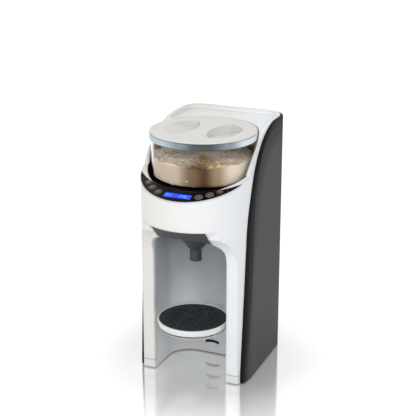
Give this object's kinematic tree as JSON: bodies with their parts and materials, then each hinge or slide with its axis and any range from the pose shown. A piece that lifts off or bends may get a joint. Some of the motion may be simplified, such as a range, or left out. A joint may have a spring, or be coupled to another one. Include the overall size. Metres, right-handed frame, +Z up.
{
  "type": "baby formula maker",
  "caption": "Round-nosed countertop formula maker with bottle bay, lift-off powder container, geared dosing wheel, slide-out funnel, hook-in stand and rear water tank.",
  "frame": {"origin": "on the table, under the middle of the machine's outline", "axes": "+X to the right seen from the front, -Y towards the round nose at the front, +Z up"},
  "size_m": [0.181, 0.24, 0.391],
  "materials": {
    "rubber_feet": "matte",
    "base_band": "gloss",
    "front_shell": "gloss",
    "bay_liner": "satin",
    "left_side_cover": "satin",
    "right_side_cover": "satin",
    "rear_frame": "satin",
    "control_panel": "gloss",
    "display": "gloss",
    "button_power": "satin",
    "button_start": "satin",
    "button_water": "satin",
    "button_left_1": "satin",
    "button_left_2": "satin",
    "button_left_3": "satin",
    "circuit_board": "satin",
    "powder_container": "clear",
    "container_band": "satin",
    "container_lid": "satin",
    "dosing_wheel": "satin",
    "stirrer": "satin",
    "outlet_plate": "satin",
    "container_platform": "satin",
    "drive_gear": "satin",
    "motor_pinion": "satin",
    "gear_motor": "satin",
    "funnel_carrier": "satin",
    "mixing_funnel": "satin",
    "bottle_stand": "gloss",
    "drip_mat": "matte",
    "water_tank": "clear",
    "tank_cap": "satin",
    "tank_valve": "satin",
    "valve_spring": "satin",
    "valve_seat": "satin",
    "water_pump": "satin",
    "water_heater": "satin",
    "water_tubes": "satin",
    "power_inlet": "satin",
    "screws": "satin"
  },
  "bodies": {
    "housing": {"rubber_feet": "rubber_feet", "base_band": "base_band", "front_shell": "front_shell", "bay_liner": "bay_liner", "left_side_cover": "left_side_cover", "right_side_cover": "right_side_cover", "rear_frame": "rear_frame", "control_panel": "control_panel", "display": "display", "circuit_board": "circuit_board", "container_platform": "container_platform", "gear_motor": "gear_motor", "valve_seat": "valve_seat", "water_pump": "water_pump", "water_heater": "water_heater", "water_tubes": "water_tubes", "power_inlet": "power_inlet", "screws": "screws"},
    "container": {"powder_container": "powder_container", "container_band": "container_band", "outlet_plate": "outlet_plate"},
    "lid": {"container_lid": "container_lid"},
    "wheel": {"dosing_wheel": "dosing_wheel", "stirrer": "stirrer"},
    "drive": {"drive_gear": "drive_gear"},
    "pinion": {"motor_pinion": "motor_pinion"},
    "funnel": {"funnel_carrier": "funnel_carrier", "mixing_funnel": "mixing_funnel"},
    "stand": {"bottle_stand": "bottle_stand"},
    "mat": {"drip_mat": "drip_mat"},
    "tank": {"water_tank": "water_tank", "valve_spring": "valve_spring"},
    "cap": {"tank_cap": "tank_cap"},
    "valve": {"tank_valve": "tank_valve"},
    "power_button": {"button_power": "button_power"},
    "start_button": {"button_start": "button_start"},
    "water_button": {"button_water": "button_water"},
    "left_button_1": {"button_left_1": "button_left_1"},
    "left_button_2": {"button_left_2": "button_left_2"},
    "left_button_3": {"button_left_3": "button_left_3"}
  },
  "joints": [
    {"name": "container_lift", "type": "slide", "parent": "housing", "child": "container", "axis": [0, 0, 1], "range_m": [0, 0.09]},
    {"name": "lid_lift", "type": "slide", "parent": "container", "child": "lid", "axis": [0, 0, 1], "range_m": [0, 0.03]},
    {"name": "wheel_spin", "type": "hinge", "parent": "container", "child": "wheel", "pos_m": [0, -0.015, 0.318], "axis": [0, 0, 1], "continuous": true},
    {"name": "drive_spin", "type": "hinge", "parent": "housing", "child": "drive", "pos_m": [0, -0.015, 0.3], "axis": [0, 0, 1], "continuous": true},
    {"name": "pinion_spin", "type": "hinge", "parent": "housing", "child": "pinion", "pos_m": [0, 0.024, 0.3], "axis": [0, 0, 1], "continuous": true},
    {"name": "funnel_slide", "type": "slide", "parent": "housing", "child": "funnel", "axis": [0, -1, 0], "range_m": [0, 0.12]},
    {"name": "stand_slide", "type": "slide", "parent": "housing", "child": "stand", "axis": [0, -1, 0], "range_m": [0, 0.08]},
    {"name": "mat_lift", "type": "slide", "parent": "stand", "child": "mat", "axis": [0, 0, 1], "range_m": [0, 0.02]},
    {"name": "tank_slide", "type": "slide", "parent": "housing", "child": "tank", "axis": [0, 1, 0], "range_m": [0, 0.09]},
    {"name": "cap_hinge", "type": "hinge", "parent": "tank", "child": "cap", "pos_m": [0, 0.08062, 0.297], "axis": [1, 0, 0], "range_deg": [0, 100]},
    {"name": "valve_lift", "type": "slide", "parent": "tank", "child": "valve", "axis": [0, 0, 1], "range_m": [0, 0.003], "stiffness_N_per_m": 300, "springref_m": -0.002, "deforming": ["valve_spring"]},
    {"name": "power_press", "type": "slide", "parent": "housing", "child": "power_button", "axis": [0, 0.309, -0.9511], "range_m": [0, 0.0008], "stiffness_N_per_m": 400},
    {"name": "start_press", "type": "slide", "parent": "housing", "child": "start_button", "axis": [0, 0.309, -0.9511], "range_m": [0, 0.0008], "stiffness_N_per_m": 400},
    {"name": "water_press", "type": "slide", "parent": "housing", "child": "water_button", "axis": [0, 0.309, -0.9511], "range_m": [0, 0.0008], "stiffness_N_per_m": 400},
    {"name": "left_press_1", "type": "slide", "parent": "housing", "child": "left_button_1", "axis": [0, 0.309, -0.9511], "range_m": [0, 0.0008], "stiffness_N_per_m": 400},
    {"name": "left_press_2", "type": "slide", "parent": "housing", "child": "left_button_2", "axis": [0, 0.309, -0.9511], "range_m": [0, 0.0008], "stiffness_N_per_m": 400},
    {"name": "left_press_3", "type": "slide", "parent": "housing", "child": "left_button_3", "axis": [0, 0.309, -0.9511], "range_m": [0, 0.0008], "stiffness_N_per_m": 400}
  ],
  "couplings": [
    {"joint": "drive_spin", "follows": "wheel_spin", "ratio": 1},
    {"joint": "pinion_spin", "follows": "wheel_spin", "ratio": -3.3333}
  ]
}
